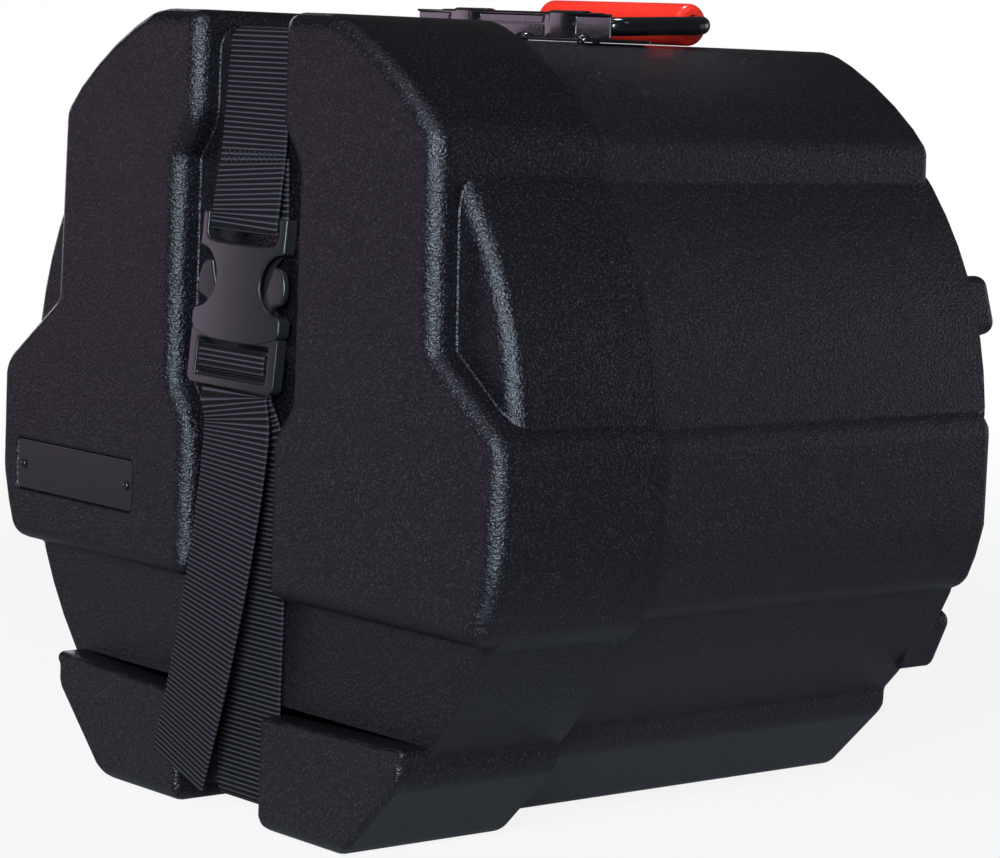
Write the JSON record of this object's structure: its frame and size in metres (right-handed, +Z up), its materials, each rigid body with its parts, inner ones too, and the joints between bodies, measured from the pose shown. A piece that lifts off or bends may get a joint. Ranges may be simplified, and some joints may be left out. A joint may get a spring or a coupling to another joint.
{
  "type": "tom case",
  "caption": "Black moulded case for a tom drum: telescoping lid, webbing strap with side-release buckle, bare label plate and a folding handle with a red grip.",
  "frame": {"origin": "middle of the case's box on the ground, as it stands with the drum's axis level", "axes": "+Z up, +Y from the lid to the back, +X to the right of someone who faces the lid"},
  "size_m": [0.416, 0.3623, 0.4125],
  "materials": {
    "shell_plastic": "black polyethylene with a fine leather grain, satin",
    "foam": "dark grey open foam",
    "black_steel": "glossy black enamel on steel",
    "plain_steel": "zinc-plated sheet",
    "red_grip": "bright red moulded plastic, satin",
    "webbing": "black ribbed nylon webbing",
    "buckle_plastic": "black moulded acetal, satin gloss",
    "label_metal": "dark enamelled plate, bare"
  },
  "bodies": {
    "case_body": {"body_shell": "shell_plastic", "body_side_liner": "foam", "body_end_pad": "foam", "handle_bracket": "black_steel", "handle_backing_plate": "plain_steel", "handle_rivet_1": "black_steel", "handle_rivet_2": "black_steel", "handle_rivet_3": "black_steel", "handle_rivet_4": "black_steel", "handle_rivet_5": "black_steel", "handle_rivet_6": "black_steel", "strap_top": "webbing", "strap_bottom": "webbing", "strap_anchor_plate": "plain_steel", "strap_rivet_1": "black_steel", "strap_rivet_2": "black_steel"},
    "lid": {"lid_shell": "shell_plastic", "lid_end_pad": "foam", "label_plate": "label_metal", "label_rivet_1": "black_steel", "label_rivet_2": "black_steel", "strap_upper": "webbing", "buckle_receiver": "buckle_plastic", "strap_lower": "webbing"},
    "insert": {"buckle_insert": "buckle_plastic", "strap_tail": "webbing"},
    "prong_left": {"prong_left": "buckle_plastic"},
    "prong_right": {"prong_right": "buckle_plastic"},
    "handle": {"handle_bail": "black_steel", "handle_grip": "red_grip"}
  },
  "joints": [
    {"name": "lid_slide", "type": "slide", "parent": "case_body", "child": "lid", "axis": [0, -1, 0], "range_m": [0, 0.12], "deforming": ["strap_top", "strap_bottom"]},
    {"name": "buckle_release", "type": "slide", "parent": "lid", "child": "insert", "axis": [-0.0119, -0.0795, -0.9968], "range_m": [0, 0.036], "deforming": ["strap_lower", "strap_tail", "prong_left", "prong_right"]},
    {"name": "prong_left_press", "type": "hinge", "parent": "insert", "child": "prong_left", "pos_m": [-0.01468, -0.17282, 0.24284], "axis": [-0.0695, 0.9945, -0.0785], "range_deg": [0, 18], "stiffness_Nm_per_rad": 0.4},
    {"name": "prong_right_press", "type": "hinge", "parent": "insert", "child": "prong_right", "pos_m": [0.02083, -0.17038, 0.24222], "axis": [0.0695, -0.9945, 0.0785], "range_deg": [0, 18], "stiffness_Nm_per_rad": 0.4},
    {"name": "handle_fold", "type": "hinge", "parent": "case_body", "child": "handle", "pos_m": [0, 0.00485, 0.3985], "axis": [1, 0, 0], "range_deg": [0, 90]}
  ]
}
